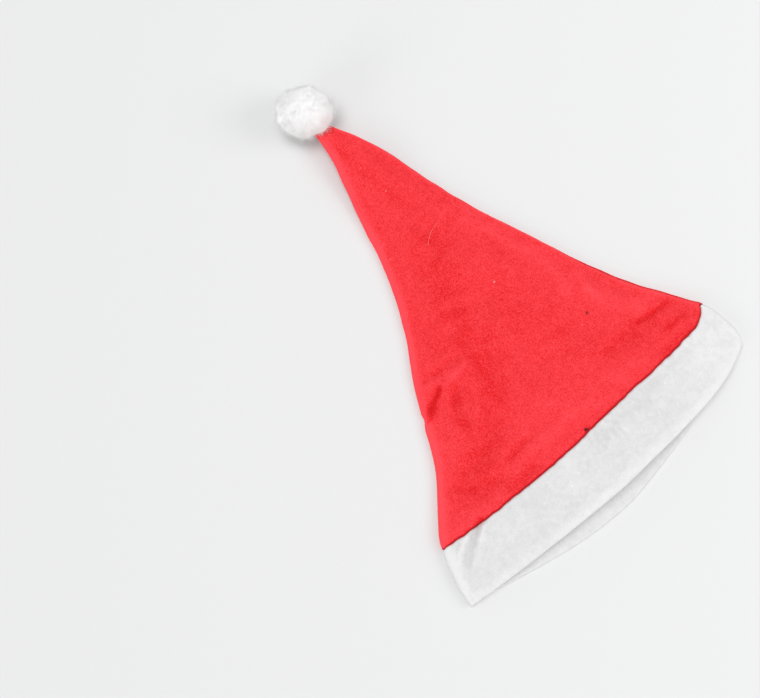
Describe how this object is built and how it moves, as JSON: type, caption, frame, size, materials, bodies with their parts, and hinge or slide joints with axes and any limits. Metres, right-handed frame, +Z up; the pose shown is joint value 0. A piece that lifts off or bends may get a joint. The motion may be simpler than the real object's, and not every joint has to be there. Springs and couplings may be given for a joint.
{
  "type": "santa hat",
  "caption": "Flat-lying felt party hat with a tapering crown, a doubled felt cuff round an open mouth and a fibre pompom on the tip.",
  "frame": {"origin": "bottom middle of the bounding box, on the surface that the hat lies on", "axes": "+Y from the open mouth to the pompom, +X towards the crown's sewn edge, +Z up from the surface"},
  "size_m": [0.3016, 0.423, 0.0423],
  "materials": {
    "red_felt": "matt needled felt with a short loose nap",
    "white_felt": "matt needled felt with a short loose nap",
    "white_fibre": "soft crimped polyester fibre"
  },
  "bodies": {
    "root": {"crown": "red_felt", "cuff": "white_felt", "pompom": "white_fibre"}
  },
  "joints": []
}
